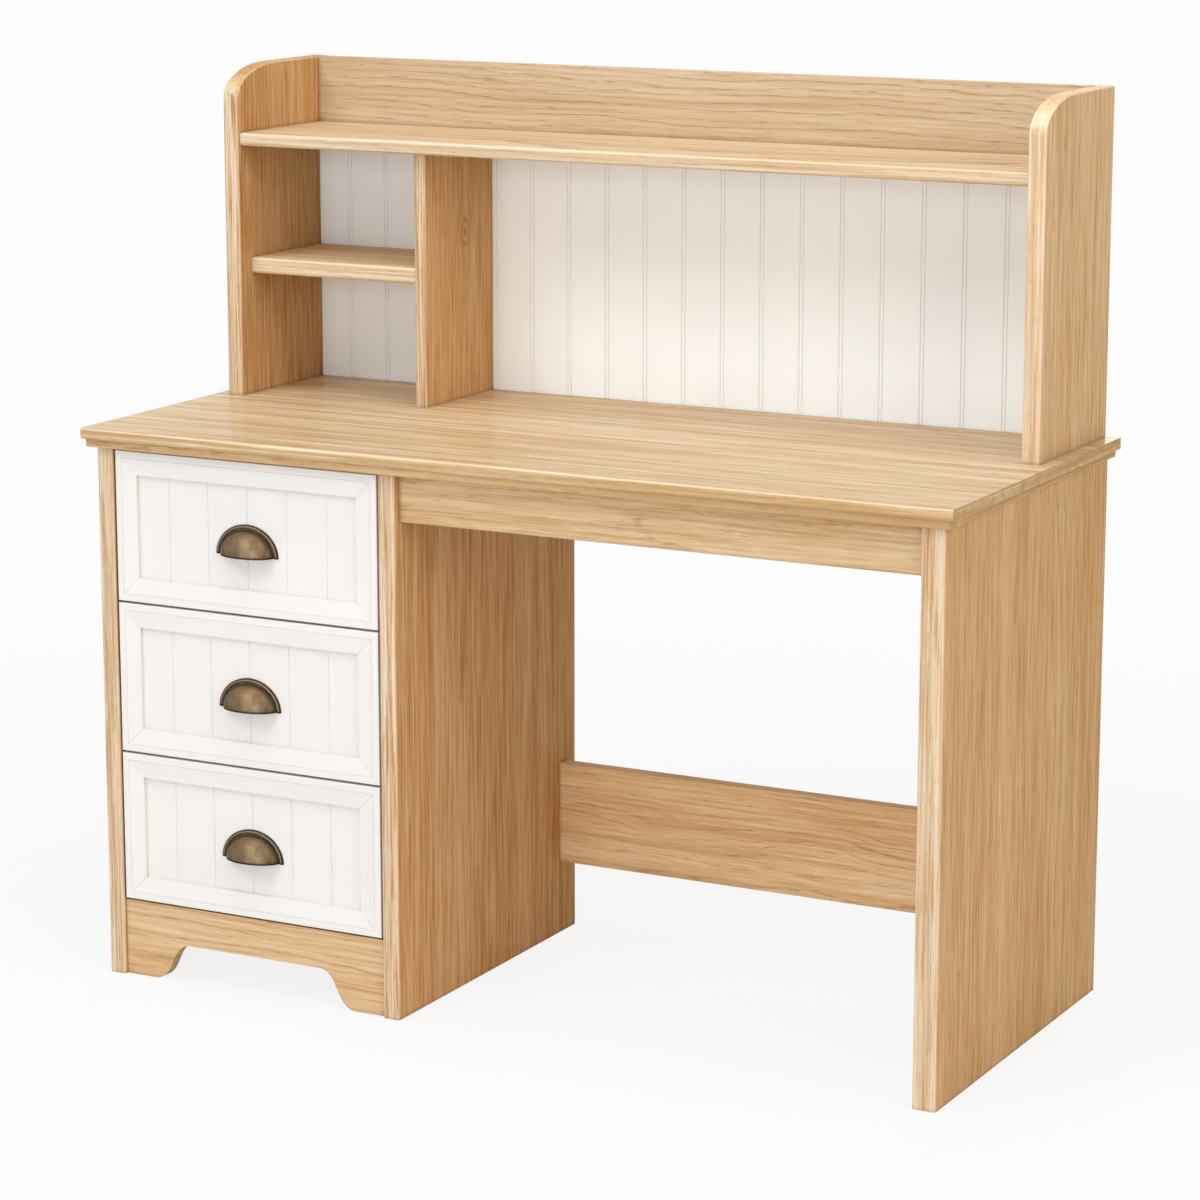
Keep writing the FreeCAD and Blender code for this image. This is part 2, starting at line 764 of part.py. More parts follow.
def drawer(number):
    """All the pieces of one drawer with its slides; returns the outer rails, their screws and bores."""
    z0 = panel_top - number * (drawer_height + drawer_reveal)
    name = "drawer_" + str(number)
    box_z = z0 + box_rise
    box_top = box_z + box_height
    bottom_z = box_z + box_bottom_rise
    slides = [
        slide_side(left_inner, 1, box_z + box_height / 2),
        slide_side(mid_left, -1, box_z + box_height / 2),
    ]
    box_bores = [b for s in slides for b in s["box_bores"]]
    groove = block(
        box_inner_left - box_groove, box_inner_right + box_groove,
        drawer_front_back - box_groove, box_inner_back + box_groove,
        bottom_z - groove_gap, bottom_z + box_bottom_thickness + groove_gap,
    )
    bottom = block(
        box_inner_left - box_groove + groove_gap, box_inner_right + box_groove - groove_gap,
        drawer_front_back - box_groove + groove_gap, box_inner_back + box_groove - groove_gap,
        bottom_z, bottom_z + box_bottom_thickness,
    )
    pull_floor = drawer_front + recess_depth
    pull_z = z0 + pull_rise
    pull = pull_shape.copy()
    pull.translate(V(drawer_middle, pull_floor, pull_z))
    front_wall = drawer_front_back - pull_floor
    pull_screws = []
    shaft_bores = []
    for side in (-1, 1):
        seat = V(drawer_middle + side * pull_screw_span / 2, pull_floor, pull_z + pull_screw_rise)
        shaft = (pull_screw_diameter, pull_screw_bite + front_wall)
        tip = seat - Y_AXIS * pull_screw_bite
        pull_screws.append(screw(tip, Y_AXIS, *shaft, pull_screw_head_diameter, pull_screw_head))
        shaft_bores.append(rod(pull_screw_diameter, front_wall, seat, Y_AXIS))
    left = block(box_left, box_inner_left, drawer_front_back, box_back, box_z, box_top)
    right = block(box_inner_right, box_right, drawer_front_back, box_back, box_z, box_top)
    back = block(box_inner_left, box_inner_right, box_inner_back, box_back, box_z, box_top)
    save(name + "_front", drawer_face(z0).cut([groove] + shaft_bores))
    save(name + "_left_side", left.cut([groove] + box_bores))
    save(name + "_right_side", right.cut([groove] + box_bores))
    save(name + "_back", back.cut(groove))
    save(name + "_bottom", bottom)
    save(name + "_cup_pull", pull)
    save(name + "_pull_screws", Part.makeCompound(pull_screws))
    save(name + "_inner_rails", Part.makeCompound([s["inner"] for s in slides]))
    save(name + "_rail_screws", Part.makeCompound([b for s in slides for b in s["inner_screws"]]))
    save(name + "_ball_cages", Part.makeCompound([s["cage"] for s in slides]))
    save(name + "_slide_balls", Part.makeCompound([b for s in slides for b in s["balls"]]))
    return slides


all_slides = []
for number in range(1, drawer_count + 1):
    all_slides += drawer(number)

# Outer rails and their screws stay with the carcass
save("outer_slide_rails", Part.makeCompound([s["outer"] for s in all_slides]))
save("outer_rail_screws", Part.makeCompound([b for s in all_slides for b in s["outer_screws"]]))
for slide in all_slides:
    carcass_bores.extend(slide["outer_bores"])

# The drilled carcass and its fasteners
for name, shape in carcass.items():
    save(name, drill(shape, carcass_bores))
save("wood_dowels", Part.makeCompound(dowels))
save("cam_bolts", Part.makeCompound(cam_bolts))
save("cam_discs", Part.makeCompound(cam_discs))
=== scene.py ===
import math

import bpy
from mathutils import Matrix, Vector


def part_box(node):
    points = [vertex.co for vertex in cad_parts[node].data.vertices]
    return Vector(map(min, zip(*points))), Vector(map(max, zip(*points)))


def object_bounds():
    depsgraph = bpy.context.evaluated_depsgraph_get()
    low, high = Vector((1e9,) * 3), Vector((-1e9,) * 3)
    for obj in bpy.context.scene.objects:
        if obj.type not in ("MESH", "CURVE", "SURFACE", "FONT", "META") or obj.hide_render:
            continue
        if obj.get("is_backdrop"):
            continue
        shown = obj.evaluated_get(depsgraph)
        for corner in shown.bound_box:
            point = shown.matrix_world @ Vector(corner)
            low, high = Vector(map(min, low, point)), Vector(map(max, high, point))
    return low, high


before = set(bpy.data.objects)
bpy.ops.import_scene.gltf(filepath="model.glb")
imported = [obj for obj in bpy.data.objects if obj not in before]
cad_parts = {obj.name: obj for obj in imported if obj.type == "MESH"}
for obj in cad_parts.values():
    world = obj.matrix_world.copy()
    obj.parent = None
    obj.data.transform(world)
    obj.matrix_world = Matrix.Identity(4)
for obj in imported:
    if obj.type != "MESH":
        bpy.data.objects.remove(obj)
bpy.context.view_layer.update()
scene = bpy.context.scene


# Shader graph helpers

NO_SHIFT = (0.0, 0.0, 0.0)
UNTINTED = (1.0, 1.0, 1.0)

# places of a mix node's colour sockets, among those for other kinds of value
MIX_SHARE, MIX_FIRST, MIX_SECOND, MIX_RESULT = 0, 6, 7, 2

# the middle of a noise's or a chance's values, and the span that holds most of them
VALUE_MIDDLE = 0.5
MIDDLE_SPAN = (0.3, 0.7)


def put(tree, kind, sockets=None, **settings):
    """Adds a node; a socket given here is linked and a plain value is set."""
    node = tree.nodes.new(kind)
    for name, value in settings.items():
        setattr(node, name, value)
    for name, value in (sockets or {}).items():
        if isinstance(value, bpy.types.NodeSocket):
            tree.links.new(value, node.inputs[name])
        else:
            node.inputs[name].default_value = value
    return node


def calc(tree, operation, *values):
    """A math node's result."""
    return put(tree, "ShaderNodeMath", dict(enumerate(values)), operation=operation).outputs[0]


def plus(tree, first, second):
    """The sum of two values."""
    return calc(tree, "ADD", first, second)


def minus(tree, first, second):
    """The first value less the second."""
    return calc(tree, "SUBTRACT", first, second)


def times(tree, first, second):
    """The product of two values."""
    return calc(tree, "MULTIPLY", first, second)


def remap(tree, value, span, levels=(0.0, 1.0)):
    """A value moved smoothly from a span to a pair of levels, held at both ends."""
    sockets = {"Value": value, "From Min": span[0], "From Max": span[1],
               "To Min": levels[0], "To Max": levels[1]}
    return put(tree, "ShaderNodeMapRange", sockets, interpolation_type="SMOOTHSTEP").outputs[0]


def ridge(tree, value, rise, fade, level):
    """Rises over one span of the value, and fades over a later one from its level to nothing."""
    return times(tree, remap(tree, value, rise), remap(tree, value, fade, (level, 0.0)))


def blend(tree, share, first, second):
    """Two colours mixed by a share; each is a socket or a triple."""
    sockets = {MIX_SHARE: share}
    for place, colour in ((MIX_FIRST, first), (MIX_SECOND, second)):
        linked = isinstance(colour, bpy.types.NodeSocket)
        sockets[place] = colour if linked else (*colour, 1.0)
    return put(tree, "ShaderNodeMix", sockets, data_type="RGBA").outputs[MIX_RESULT]


def tinted(colour, tint):
    """A colour times a tint, channel by channel."""
    return tuple(channel * share for channel, share in zip(colour, tint))


def shaded(colour, share):
    """A colour darkened to a share of itself."""
    return tuple(channel * share for channel in colour)


def axes(tree, vector):
    """The three parts of a vector."""
    return put(tree, "ShaderNodeSeparateXYZ", {0: vector}).outputs


def join(tree, *parts):
    """A vector made of three parts."""
    return put(tree, "ShaderNodeCombineXYZ", dict(enumerate(parts))).outputs[0]


def vector_calc(tree, operation, *vectors):
    """A vector math node's results: a vector, or the value of a length."""
    return put(tree, "ShaderNodeVectorMath", dict(enumerate(vectors)), operation=operation).outputs


def stretch(tree, point, scale, shift=NO_SHIFT):
    """A point scaled by a triple and moved."""
    return vector_calc(tree, "MULTIPLY_ADD", point, scale, shift)["Vector"]


def noise(tree, point, scale, shift=NO_SHIFT, detail=2.0, rough=0.5):
    """Cloudy noise; the scale is in waves per metre along each axis."""
    spot = stretch(tree, point, scale, shift)
    sockets = {"Vector": spot, "Scale": 1.0, "Detail": detail, "Roughness": rough}
    return put(tree, "ShaderNodeTexNoise", sockets).outputs["Fac"]


def dice(tree, number):
    """A random value and a random colour for each number."""
    return put(tree, "ShaderNodeTexWhiteNoise", {"W": number}, noise_dimensions="1D").outputs


def openness(tree, reach, samples):
    """1 on open faces, and less where other faces stand within reach."""
    return put(tree, "ShaderNodeAmbientOcclusion", {"Distance": reach}, samples=samples).outputs["AO"]


def coordinates(tree, kind):
    """The point on the object, or the direction that its face looks in."""
    return put(tree, "ShaderNodeTexCoord").outputs[kind]


def grain_point(tree, order):
    """Object coordinates turned so that x runs along the grain, y across it and z through the board."""
    parts = axes(tree, coordinates(tree, "Object"))
    return join(tree, *(parts[axis] for axis in order))


def start_material(name):
    """A new material; returns it with its tree and its main shader."""
    made = bpy.data.materials.new(name)
    made.use_nodes = True
    return made, made.node_tree, made.node_tree.nodes["Principled BSDF"]


def cover(tree, shader, base, rough, height, strength, depth):
    """Links colour, roughness and relief to the main shader; the depth of the relief is in metres."""
    bump = put(tree, "ShaderNodeBump", {"Height": height, "Strength": strength, "Distance": depth}).outputs[0]
    for socket, value in (("Base Color", base), ("Roughness", rough), ("Normal", bump)):
        tree.links.new(value, shader.inputs[socket])


# Oak: growth rings of a log cut into staves, with fibres and pores

# noise layers, in waves per metre along the grain, across it and through the board
DRIFT = dict(scale=(1.5, 2.5, 2.5), detail=1.0)
SWAY = dict(scale=(5.0, 16.0, 16.0))
SHIVER = dict(scale=(26.0, 150.0, 150.0))
PATCH = dict(scale=(2.4, 20.0, 20.0))
DASH = dict(scale=(42.0, 620.0, 620.0), detail=1.0)
FIBRE = dict(scale=(7.0, 300.0, 300.0), detail=3.0, rough=0.7)
STREAK = dict(scale=(2.0, 70.0, 70.0), detail=3.0, rough=0.6)
TONE = dict(scale=(0.8, 19.0, 19.0), detail=3.0, rough=0.55)
BLUSH = dict(scale=(0.6, 8.0, 8.0))

# how far apart the staves lie in the log, and how the log's heart wanders
LOG_SPREAD = (9.0, 9.0, 9.0)
SWAY_SHARE = 0.4
SHIVER_SHARE = 0.45
DRIFT_INWARD = 1.6
LEAST_DEPTH = 0.6

# the lines of a year: where each rises and fades, in shares of the year, and its strength
EARLY_WOOD = ((0.00, 0.10), (0.12, 0.50), 0.55)
EARLY_CORE = ((0.02, 0.10), (0.11, 0.22), 0.55)
FINE_LINE = ((0.0, 0.2), (0.25, 0.8), 0.16)
FINE_LINES_A_YEAR = 3.3

# how unevenly the years follow one another, and how much their lines differ in weight
PACE_SCALE, PACE_REACH = 0.37, 1.6
LEAST_WEIGHT, ADDED_WEIGHT = 0.15, 0.85

# spans of a layer, and the levels that they become
PATCH_RANGE = ((0.30, 0.62), (0.45, 1.0))
DASH_SPAN = (0.55, 0.68)
PORE_RANGE = ((0.0, 0.8), (0.2, 1.0))


def oak_figure():
    """A node group that gives the ring lines, pores, fibres and tones of an oak board."""
    tree = bpy.data.node_groups.new("oak_figure", "ShaderNodeTree")
    face = tree.interface
    face.new_socket("Point", in_out="INPUT", socket_type="NodeSocketVector")
    for name in ("Seed", "Stave", "Ring", "Depth", "Spread", "Tilt", "Wave"):
        face.new_socket(name, in_out="INPUT", socket_type="NodeSocketFloat")
    for name in ("Lines", "Pores", "Fibre", "Streak", "Tone", "Blush", "Board"):
        face.new_socket(name, in_out="OUTPUT", socket_type="NodeSocketFloat")
    given = put(tree, "NodeGroupInput").outputs
    seed = given["Seed"]
    along, across, through = axes(tree, given["Point"])

    # each stave comes from another place in the log
    stave = calc(tree, "ROUND", calc(tree, "DIVIDE", across, given["Stave"]))
    stave_middle = times(tree, stave, given["Stave"])
    stave_colour = dice(tree, plus(tree, stave, seed))["Color"]
    chances = put(tree, "ShaderNodeSeparateColor", {0: stave_colour}).outputs
    stave_shift = vector_calc(tree, "MULTIPLY", stave_colour, LOG_SPREAD)["Vector"]
    place = vector_calc(tree, "ADD", stave_shift, join(tree, seed, seed, seed))["Vector"]

    def layer(choices):
        return noise(tree, given["Point"], shift=place, **choices)

    def wander(choices, reach):
        """A layer about zero, as wide as its reach."""
        return times(tree, minus(tree, layer(choices), VALUE_MIDDLE), reach)

    # distance from the heart of the log, which wanders along the board
    drift = wander(DRIFT, given["Wave"])
    sway = wander(SWAY, times(tree, given["Wave"], SWAY_SHARE))
    shiver = wander(SHIVER, times(tree, given["Ring"], SHIVER_SHARE))
    centre = times(tree, minus(tree, chances[0], VALUE_MIDDLE), given["Spread"])
    aside = plus(tree, minus(tree, minus(tree, across, stave_middle), centre), drift)
    lean = times(tree, along, times(tree, minus(tree, chances[2], VALUE_MIDDLE), given["Tilt"]))
    inward = plus(tree, through, times(tree, given["Depth"], plus(tree, chances[1], LEAST_DEPTH)))
    inward = plus(tree, inward, plus(tree, times(tree, drift, DRIFT_INWARD), lean))
    radius = calc(tree, "SQRT", plus(tree, times(tree, aside, aside), times(tree, inward, inward)))
    radius = plus(tree, radius, plus(tree, sway, shiver))

    # years of uneven width; the early wood of each is a thin dark line that fades into the late wood
    turn = calc(tree, "DIVIDE", radius, given["Ring"])
    pace = {"W": times(tree, turn, PACE_SCALE), "Scale": 1.0, "Detail": 1.0}
    uneven = put(tree, "ShaderNodeTexNoise", pace, noise_dimensions="1D").outputs["Fac"]
    turn = plus(tree, turn, times(tree, uneven, PACE_REACH))
    year = calc(tree, "FRACT", turn)
    ring = plus(tree, ridge(tree, year, *EARLY_WOOD), ridge(tree, year, *EARLY_CORE))
    chance = dice(tree, plus(tree, calc(tree, "FLOOR", turn), seed))["Value"]
    weight = plus(tree, times(tree, times(tree, chance, chance), ADDED_WEIGHT), LEAST_WEIGHT)
    fine_year = calc(tree, "FRACT", times(tree, turn, FINE_LINES_A_YEAR))
    lines = plus(tree, times(tree, ring, weight), ridge(tree, fine_year, *FINE_LINE))
    made = {
        "Lines": times(tree, lines, remap(tree, layer(PATCH), *PATCH_RANGE)),
        "Pores": times(tree, remap(tree, layer(DASH), DASH_SPAN), remap(tree, ring, *PORE_RANGE)),
        "Fibre": layer(FIBRE),
        "Streak": layer(STREAK),
        "Tone": layer(TONE),
        "Blush": layer(BLUSH),
        "Board": chances[1],
    }
    put(tree, "NodeGroupOutput", made)
    return tree


OAK = oak_figure()
OAK_LIGHT = (0.745, 0.560, 0.350)
OAK_MID = (0.640, 0.420, 0.220)
OAK_ROSE = (0.665, 0.425, 0.250)
OAK_GOLD = (0.480, 0.262, 0.102)
OAK_DARK = (0.385, 0.192, 0.072)
OAK_PORE = (0.260, 0.135, 0.055)
OAK_EDGE = (0.755, 0.630, 0.455)
OAK_EDGE_DARK = (0.605, 0.452, 0.292)
# colour of the painted shade in joints and corners
OAK_CORNER_SHADE = (0.200, 0.100, 0.040)
OAK_KNOT = (0.270, 0.135, 0.052)

# a knot's half length and half width, and its rings, in shares of them from the middle out
KNOT_REACH = (0.060, 0.032)
KNOT_SQUEEZE_RANGE = ((0.0, 1.0), (0.25, 1.0))
KNOT_RIM = ((0.20, 0.28), (0.28, 0.38), 0.45)
KNOT_HEART_RANGE = ((0.04, 0.18), (0.75, 0.0))


def bend_round_knot(tree, point, knot):
    """The grain pushed aside by a small knot: returns the bent point and the share of the knot's colour."""
    away = vector_calc(tree, "SUBTRACT", point, knot)["Vector"]
    shape = (1 / KNOT_REACH[0], 1 / KNOT_REACH[1], 0.0)
    near = vector_calc(tree, "LENGTH", stretch(tree, away, shape))["Value"]
    squeeze = join(tree, 1.0, remap(tree, near, *KNOT_SQUEEZE_RANGE), 1.0)
    heart = calc(tree, "MAXIMUM", ridge(tree, near, *KNOT_RIM), remap(tree, near, *KNOT_HEART_RANGE))
    return stretch(tree, away, squeeze, knot), heart


# the striped lipping of a board's edges, and the straight fibres of its ends
FRONT_LIP = dict(scale=(1.3, 25.0, 165.0), detail=3.0, rough=0.6)
UPRIGHT_LIP = dict(scale=(1.3, 1.3, 190.0), detail=3.0, rough=0.6)
END_FIBRE = dict(scale=(4.5, 4.5, 300.0), detail=3.0, rough=0.7)
LIP_FACE_SPAN = (0.35, 0.9)
LIP_STRIPE_SPAN = (0.38, 0.60)
END_RANGE = ((0.5, 0.9), (1.0, 0.0))

# the colours of the boards: spans of a layer, and the levels or shares that they become
TONE_SPAN = (0.32, 0.68)
BLUSH_RANGE = ((0.40, 0.66), (0.0, 0.40))
BOARD_SHARE = 0.35
STREAK_SPAN = (0.34, 0.60)
KEEN_RANGE = ((0.30, 0.70), (1.0, 0.6))
DARK_FIBRE_SPAN = (0.30, 0.56)
PALE_FIBRE_SPAN, PALE_FIBRE_SHARE = (0.52, 0.76), 0.7
PORE_SHARE = 0.45

# painted highlight on the rounded edges, painted shade in the joints and corners, and the lacquer
EDGE_HIGHLIGHT_RANGE = ((0.80, 0.97), (0.45, 0.0))
EDGE_HIGHLIGHT_UP_SPAN = (-0.15, 0.05)
CORNER_SHADE_AO = dict(reach=0.012, samples=4)
CORNER_SHADE_RANGE = ((0.20, 0.72), (0.80, 0.0))
OAK_ROUGH_RANGE = ((0.2, 0.8), (0.72, 0.60))
PORE_ROUGH = 0.2
FIBRE_HEIGHT, LINE_DEPTH = 0.35, 0.4
OAK_RELIEF = dict(strength=0.35, depth=0.0004)
OAK_GLOSS = 0.03
COAT_SPAN = (0.70, 0.97)
COAT_ROUGHNESS = 0.22


def oak(name, order, seed, stave=0.7, ring=0.0045, depth=0.10, spread=0.10, tilt=0.10, wave=0.03, line=0.62,
        fibre=0.5, streak=0.3, tint=UNTINTED, edge=None, lip=(OAK_EDGE_DARK, OAK_EDGE), coat=0.0, knot=None):
    """Lacquered oak. The order names the axes along the grain, across it and through the board;
    edge tells which faces show the striped lipping: the front ones, or all that stand upright."""
    made, tree, shader = start_material(name)
    point = grain_point(tree, order)
    shift = (seed, seed, seed)

    def hue(colour):
        return tinted(colour, tint)

    if knot:
        point, heart = bend_round_knot(tree, point, knot)
    sockets = {"Point": point, "Seed": seed, "Stave": stave, "Ring": ring, "Depth": depth, "Spread": spread,
               "Tilt": tilt, "Wave": wave}
    figure = put(tree, "ShaderNodeGroup", sockets, node_tree=OAK).outputs
    lines, pores, thread = figure["Lines"], figure["Pores"], figure["Fibre"]
    base = blend(tree, remap(tree, figure["Tone"], TONE_SPAN), hue(OAK_MID), hue(OAK_LIGHT))
    base = blend(tree, remap(tree, figure["Blush"], *BLUSH_RANGE), base, hue(OAK_ROSE))
    base = blend(tree, times(tree, figure["Board"], BOARD_SHARE), base, hue(OAK_MID))

    # lipping on the edges; the ends of a board that is lipped all round show neither rings nor pores
    normal = axes(tree, coordinates(tree, "Normal"))
    square = [calc(tree, "ABSOLUTE", part) for part in normal]
    if edge == "front":
        facing = remap(tree, times(tree, normal[1], -1.0), LIP_FACE_SPAN)
        stripe = noise(tree, point, shift=shift, **FRONT_LIP)
    elif edge == "upright":
        facing = remap(tree, minus(tree, 1.0, square[2]), LIP_FACE_SPAN)
        stripe = noise(tree, point, shift=shift, **UPRIGHT_LIP)
        whole = remap(tree, square[order[0]], *END_RANGE)
        lines = times(tree, lines, whole)
        pores = times(tree, pores, whole)
        end_thread = times(tree, noise(tree, point, shift=shift, **END_FIBRE), minus(tree, 1.0, whole))
        thread = plus(tree, times(tree, thread, whole), end_thread)
    if edge:
        base = blend(tree, facing, base, blend(tree, remap(tree, stripe, LIP_STRIPE_SPAN), *lip))

    # rings, streaks, fibres and pores
    base = blend(tree, times(tree, lines, line), base, hue(OAK_DARK))
    base = blend(tree, remap(tree, figure["Streak"], STREAK_SPAN, (streak, 0.0)), base, hue(OAK_GOLD))
    keen = remap(tree, figure["Tone"], *KEEN_RANGE)
    dark_fibre = remap(tree, thread, DARK_FIBRE_SPAN, (fibre, 0.0))
    pale_fibre = remap(tree, thread, PALE_FIBRE_SPAN, (0.0, fibre * PALE_FIBRE_SHARE))
    base = blend(tree, times(tree, dark_fibre, keen), base, hue(OAK_GOLD))
    base = blend(tree, times(tree, pale_fibre, keen), base, hue(OAK_EDGE))
    base = blend(tree, times(tree, pores, PORE_SHARE), base, hue(OAK_PORE))
    if knot:
        base = blend(tree, heart, base, OAK_KNOT)

    # painted highlight along the rounded upper edges, and painted shade in the joints and corners
    flat = calc(tree, "MAXIMUM", calc(tree, "MAXIMUM", square[0], square[1]), square[2])
    # painted highlight: rounded edges that face up or sideways are made paler
    edge_highlight = times(tree, remap(tree, flat, *EDGE_HIGHLIGHT_RANGE), remap(tree, normal[2], EDGE_HIGHLIGHT_UP_SPAN))
    base = blend(tree, edge_highlight, base, hue(OAK_EDGE))
    # painted shade: joints and corners are darkened to dark brown where other faces stand close
    base = blend(tree, remap(tree, openness(tree, **CORNER_SHADE_AO), *CORNER_SHADE_RANGE), base, hue(OAK_CORNER_SHADE))
    rough = plus(tree, remap(tree, thread, *OAK_ROUGH_RANGE), times(tree, pores, PORE_ROUGH))
    height = minus(tree, times(tree, thread, FIBRE_HEIGHT), pores)
    height = minus(tree, height, times(tree, lines, LINE_DEPTH))
    cover(tree, shader, base, rough, height, **OAK_RELIEF)
    shader.inputs["Specular IOR Level"].default_value = OAK_GLOSS
    if coat:
        # the lacquer is built up and polished on the upper face only
        tree.links.new(remap(tree, normal[2], COAT_SPAN, (0.0, coat)), shader.inputs["Coat Weight"])
        shader.inputs["Coat Roughness"].default_value = COAT_ROUGHNESS
    return made


# White paint

MOTTLE = dict(scale=(3.0, 7.0, 7.0), detail=3.0)
BRUSH = dict(scale=(14.0, 480.0, 480.0))
PEEL = dict(scale=(420.0, 420.0, 420.0))
MOTTLE_SHADE = 0.98
BRUSH_SHADE, BRUSH_LEVELS = 0.9, (0.10, 0.0)
REVERSE_SPAN = (0.3, 0.8)
# painted shade in the grooves and inner corners of the paint: its colour, reach and levels
GROOVE_SHADE = (0.62, 0.55, 0.47)
GROOVE_SHADE_AO = dict(reach=0.006, samples=6)
GROOVE_SHADE_RANGE = ((0.30, 0.88), (0.32, 0.0))
PAINT_ROUGH_LEVELS = (0.46, 0.56)
BRUSH_HEIGHT, PEEL_HEIGHT = 0.6, 0.4
PAINT_RELIEF = dict(strength=0.18, depth=0.0002)
PAINT_GLOSS = 0.3


def white_paint(name, order, tint, reverse=None):
    """Satin white paint over a planed board: faint brush lines, soft mottling, and painted shade in the
    grooves;
    reverse is the tint of the faces that look to the back."""
    made, tree, shader = start_material(name)
    point = grain_point(tree, order)
    mottle, brush, peel = (noise(tree, point, **choices) for choices in (MOTTLE, BRUSH, PEEL))
    base = blend(tree, remap(tree, mottle, MIDDLE_SPAN), shaded(tint, MOTTLE_SHADE), tint)
    if reverse:
        normal = axes(tree, coordinates(tree, "Normal"))
        base = blend(tree, remap(tree, normal[1], REVERSE_SPAN), base, reverse)
    base = blend(tree, remap(tree, brush, MIDDLE_SPAN, BRUSH_LEVELS), base, shaded(tint, BRUSH_SHADE))
    # painted shade: grooves and inner corners are darkened
    base = blend(tree, remap(tree, openness(tree, **GROOVE_SHADE_AO), *GROOVE_SHADE_RANGE), base, GROOVE_SHADE)
    rough = remap(tree, mottle, MIDDLE_SPAN, PAINT_ROUGH_LEVELS)
    height = plus(tree, times(tree, brush, BRUSH_HEIGHT), times(tree, peel, PEEL_HEIGHT))
    cover(tree, shader, base, rough, height, **PAINT_RELIEF)
    shader.inputs["Specular IOR Level"].default_value = PAINT_GLOSS
    return made


# Plain boards and dowels

BOARD_STREAK = dict(scale=(2.0, 55.0, 55.0), detail=4.0, rough=0.6)
BOARD_FLECK = dict(scale=(90.0, 700.0, 700.0), detail=1.0)
BOARD_DARK_TINT = (0.80, 0.74, 0.66)
FLECK_SHADE, FLECK_RANGE = 0.55, ((0.62, 0.74), (0.0, 0.35))
BOARD_ROUGH_LEVELS = (0.68, 0.58)
BOARD_RELIEF = dict(strength=0.2, depth=0.0003)


def plain_board(name, order, tint, seed):
    """Sanded pale board: fine straight grain with small flecks and no lacquer."""
    made, tree, shader = start_material(name)
    point = vector_calc(tree, "ADD", grain_point(tree, order), (seed, seed, seed))["Vector"]
    streak, fleck = (noise(tree, point, **choices) for choices in (BOARD_STREAK, BOARD_FLECK))
    base = blend(tree, remap(tree, streak, MIDDLE_SPAN), tinted(tint, BOARD_DARK_TINT), tint)
    base = blend(tree, remap(tree, fleck, *FLECK_RANGE), base, shaded(tint, FLECK_SHADE))
    rough = remap(tree, streak, MIDDLE_SPAN, BOARD_ROUGH_LEVELS)
    cover(tree, shader, base, rough, minus(tree, streak, fleck), **BOARD_RELIEF)
    return made


# Aged bronze of the cup pulls; depths and heights are in metres from the middle of a pull's lower back

BRONZE_DARK = (0.062, 0.042, 0.024)
BRONZE_CROWN = (0.215, 0.145, 0.077)
BRONZE_BRUSHED = (0.280, 0.200, 0.120)
BRONZE_BEAD = (0.300, 0.225, 0.145)
BRONZE_NOTCH = (0.060, 0.040, 0.024)
BRONZE_SPECK = (0.030, 0.022, 0.014)
BRONZE_DARKEST = (0.014, 0.010, 0.007)
PATINA = dict(scale=(60.0, 60.0, 60.0), detail=4.0, rough=0.6)
SPECK = dict(scale=(700.0, 700.0, 700.0))
BRUSHED = dict(scale=(230.0, 40.0, 22.0), detail=3.0, rough=0.6)
PULL_HALF_WIDTH = 0.040
CROWN_DEPTH_RANGE = ((-0.0060, -0.0030), (0.95, 0.15))
CROWN_WIDTH_RANGE = ((0.0, 0.9), (1.0, 0.35))
CROWN_PATINA_RANGE = ((0.25, 0.75), (0.6, 1.1))
BRUSHED_RANGE = ((0.35, 0.75), (0.0, 0.35))
BEAD_DEPTHS = ((-0.0048, -0.0038), (-0.0027, -0.0021), 1.0)
BEAD_SHARE = 0.8
NOTCH_COUNT = 66.0
NOTCH_RANGE = ((0.1, 0.9), (0.0, 0.40))
SPECK_RANGE = ((0.58, 0.72), (0.0, 0.5))
DIRTY = dict(reach=0.003, samples=6)
DIRT_RANGE = ((0.30, 0.75), (0.9, 0.0))
BOTTOM_DARK_RANGE = ((0.0008, 0.0038), (0.9, 0.0))
BRONZE_ROUGH_LEVELS = (0.60, 0.46)
BRUSHED_HEIGHT = 0.6
BRONZE_RELIEF = dict(strength=0.25, depth=0.0003)


